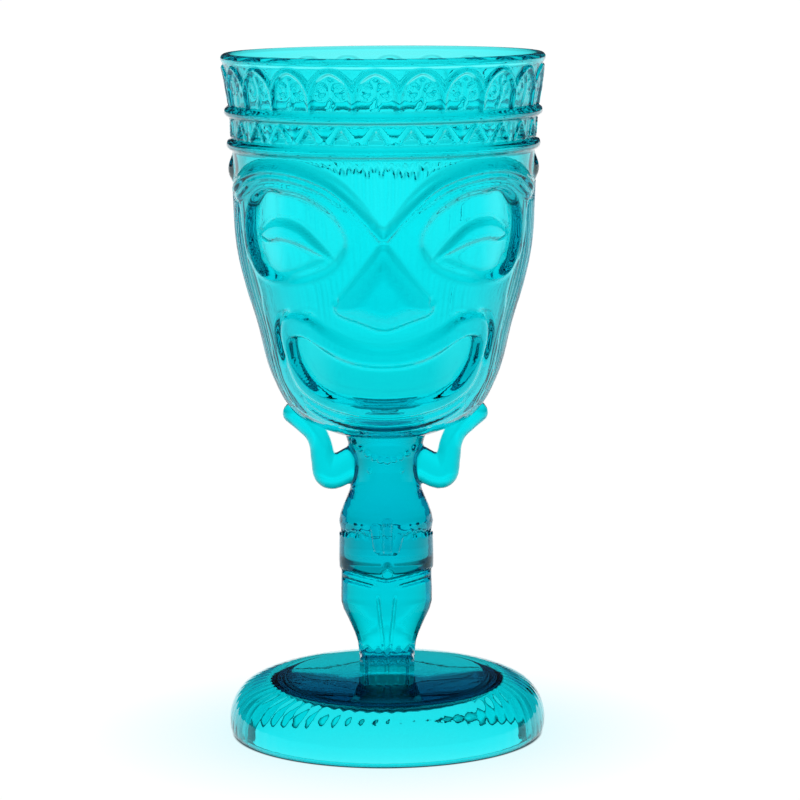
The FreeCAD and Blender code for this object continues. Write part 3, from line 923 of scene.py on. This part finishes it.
class GOBLET_OT_stage(bpy.types.Operator):
    """Set the pale floor, the soft light and the camera"""
    bl_idname = "goblet.stage"
    bl_label = "Stage"

    def execute(self, context):
        settings = context.scene.goblet
        self.add_floor(settings)
        self.add_light(settings)
        self.add_camera(settings)
        return {"FINISHED"}

    def add_floor(self, settings):
        """Wide white floor that gives its own light, with a painted cyan glow near the foot and a painted
        shadow ring under its edge.
        """
        half = FLOOR_HALF
        mesh = bpy.data.meshes.new("floor")
        mesh.from_pydata([(-half, -half, 0), (half, -half, 0), (half, half, 0), (-half, half, 0)], [],
                         [(0, 1, 2, 3)])
        floor = bpy.data.objects.new("floor", mesh)
        floor.location.z = CAD_LOW.z - FLOOR_GAP
        bpy.context.scene.collection.objects.link(floor)
        material = bpy.data.materials.new("pale_floor")
        material.use_nodes = True
        tree = material.node_tree
        surface = tree.nodes["Principled BSDF"]
        surface.inputs["Base Color"].default_value = (0.5, 0.5, 0.5, 1)
        surface.inputs["Roughness"].default_value = 0.7
        surface.inputs["Specular IOR Level"].default_value = 0.0
        place = tree.nodes.new("ShaderNodeTexCoord").outputs["Object"]
        away = tree.nodes.new("ShaderNodeVectorMath")
        away.operation = "LENGTH"
        tree.links.new(place, away.inputs[0])
        reach = away.outputs["Value"]
        # the floor's light is tinted cyan near the foot: a painted glow
        tree.links.new(floor_and_painted_spill_colour(tree, reach, settings), surface.inputs["Emission Color"])
        # painted contact shadow: the floor's light is cut to nothing on a ring under the foot's edge
        strength = math_node(tree, "MULTIPLY", floor_light(tree, place, reach, settings),
                             painted_contact_shadow(tree, reach))
        tree.links.new(strength, surface.inputs["Emission Strength"])
        mesh.materials.append(material)

    def add_light(self, settings):
        """White surroundings near the horizon that fall off overhead, as a bright sweep gives."""
        world = bpy.data.worlds.new("studio")
        world.use_nodes = True
        bpy.context.scene.world = world
        tree = world.node_tree
        back = tree.nodes["Background"]
        place = tree.nodes.new("ShaderNodeTexCoord")
        parts = tree.nodes.new("ShaderNodeSeparateXYZ")
        ramp = tree.nodes.new("ShaderNodeValToRGB")
        tree.links.new(place.outputs["Generated"], parts.inputs[0])
        tree.links.new(parts.outputs["Z"], ramp.inputs[0])
        stops = ramp.color_ramp.elements
        stops[0].position, stops[0].color = 0.0, (1, 1, 1, 1)
        stops[1].position, stops[1].color = 1.0, (settings.zenith,) * 3 + (1,)
        for degrees, level in ((7, 1.0), (18, 0.62), (32, 0.3), (48, settings.zenith)):
            stop = stops.new(math.sin(math.radians(degrees)))
            stop.color = (level, level, level, 1)
        path = tree.nodes.new("ShaderNodeLightPath").outputs
        mirrored = math_node(tree, "SUBTRACT", path["Is Reflection Ray"], path["Is Diffuse Ray"])
        level = range_node(tree, mirrored, {"To Min": settings.sky,
                                            "To Max": settings.sky * settings.reflection})
        tree.links.new(ramp.outputs[0], back.inputs["Color"])
        shade = corner_shade(tree, place.outputs["Generated"], settings.corner_shade)
        tree.links.new(math_node(tree, "MULTIPLY", level, shade), back.inputs["Strength"])

    def add_camera(self, settings):
        """Long lens a little above the table, and the bounces that clear plastic needs."""
        tall = CAD_HIGH.z - CAD_LOW.z
        target = Vector((CAMERA_TARGET[0] * tall, 0, CAMERA_TARGET[1] * tall))
        distance = CAMERA_DISTANCE * tall
        angle = settings.camera_elevation
        camera = bpy.data.cameras.new("camera")
        camera.sensor_width = 36
        camera.lens = CAMERA_LENS
        holder = bpy.data.objects.new("camera", camera)
        holder.location = target + distance * Vector((0, -math.cos(angle), math.sin(angle)))
        look = target - holder.location
        roll = Quaternion((0, 0, 1), settings.camera_roll)
        holder.rotation_mode = "QUATERNION"
        holder.rotation_quaternion = look.to_track_quat("-Z", "Y") @ roll
        bpy.context.scene.collection.objects.link(holder)
        scene = bpy.context.scene
        scene.camera = holder
        scene.view_settings.view_transform = "Standard"
        scene.cycles.max_bounces = 24
        scene.cycles.transmission_bounces = 24
        scene.cycles.glossy_bounces = 12


# ---------------------------------------------------------------- settings and panel
class GobletSettings(bpy.types.PropertyGroup):
    """Sizes, colours and light that a user would change"""
    wall: bpy.props.FloatProperty(name="Wall", description="Bowl wall in model millimetres", default=2.8)
    relief: bpy.props.FloatProperty(name="Relief", description="Strength of the carving", default=1.0)
    bowl_columns: bpy.props.IntProperty(name="Bowl columns", description="Upright rows of faces round the "
                                        "bowl", default=424)
    foot_columns: bpy.props.IntProperty(name="Foot columns", description="Faces across one flute", default=9)
    figure_step: bpy.props.FloatProperty(name="Figure step", description="Size of the figure's faces, mm",
                                         default=0.35)
    tint: bpy.props.FloatVectorProperty(name="Tint", description="Colour of light that passes through",
                                        subtype="COLOR", default=(0.0, 0.951, 0.966), min=0, max=1)
    density: bpy.props.FloatProperty(name="Tint density", description="Strength of the tint per metre",
                                     default=800.0)
    ior: bpy.props.FloatProperty(name="IOR", description="Refraction of the plastic", default=1.49)
    roughness: bpy.props.FloatProperty(name="Roughness", description="Surface roughness", default=0.0,
                                       min=0, max=1, subtype="FACTOR")
    floor_glow: bpy.props.FloatProperty(name="Floor glow", description="Light the floor gives", default=0.92)
    floor_near: bpy.props.FloatProperty(name="Near floor", description="Light of the floor 0.45 m off, "
                                        "as seen through the plastic", default=0.82)
    corner_shade: bpy.props.FloatProperty(name="Corner shade", description="How much darker the room's "
                                          "corners are than its walls", default=0.42)
    # painted light: colour of the cyan glow painted on the floor round the foot
    painted_spill: bpy.props.FloatVectorProperty(name="Spill", description="Colour of the floor near the foot",
                                         subtype="COLOR", default=(0.78, 0.975, 1.0), min=0, max=1)
    sky: bpy.props.FloatProperty(name="Sky", description="Brightness of the surroundings", default=1.1)
    zenith: bpy.props.FloatProperty(name="Zenith", description="Brightness overhead", default=0.05)
    reflection: bpy.props.FloatProperty(name="Reflection", description="How much of the surroundings shows "
                                        "in reflections", default=0.03)
    camera_elevation: bpy.props.FloatProperty(name="Camera elevation", description="Angle above the floor",
                                              subtype="ANGLE", default=math.radians(8.35))
    camera_roll: bpy.props.FloatProperty(name="Camera roll", description="Lean of the camera",
                                         subtype="ANGLE", default=math.radians(-0.35))


class GOBLET_PT_panel(bpy.types.Panel):
    """Sidebar panel that lists the goblet's pieces"""
    bl_label = "Goblet"
    bl_space_type = "VIEW_3D"
    bl_region_type = "UI"
    bl_category = "Goblet"

    def draw(self, context):
        for name in ("wall", "relief", "tint", "density", "ior", "roughness"):
            self.layout.prop(context.scene.goblet, name)
        for operator in OPERATORS:
            self.layout.operator(operator.bl_idname)


OPERATORS = (GOBLET_OT_bowl, GOBLET_OT_figure, GOBLET_OT_foot, GOBLET_OT_stage)
CLASSES = (GobletSettings,) + OPERATORS + (GOBLET_PT_panel,)


def register():
    for cls in CLASSES:
        bpy.utils.register_class(cls)
    bpy.types.Scene.goblet = bpy.props.PointerProperty(type=GobletSettings)


def unregister():
    del bpy.types.Scene.goblet
    for cls in reversed(CLASSES):
        bpy.utils.unregister_class(cls)


def main():
    """Build the pieces and the stage."""
    register()
    bpy.ops.goblet.bowl()
    bpy.ops.goblet.figure()
    bpy.ops.goblet.foot()
    bpy.ops.goblet.stage()


if __name__ == "__main__":
    main()
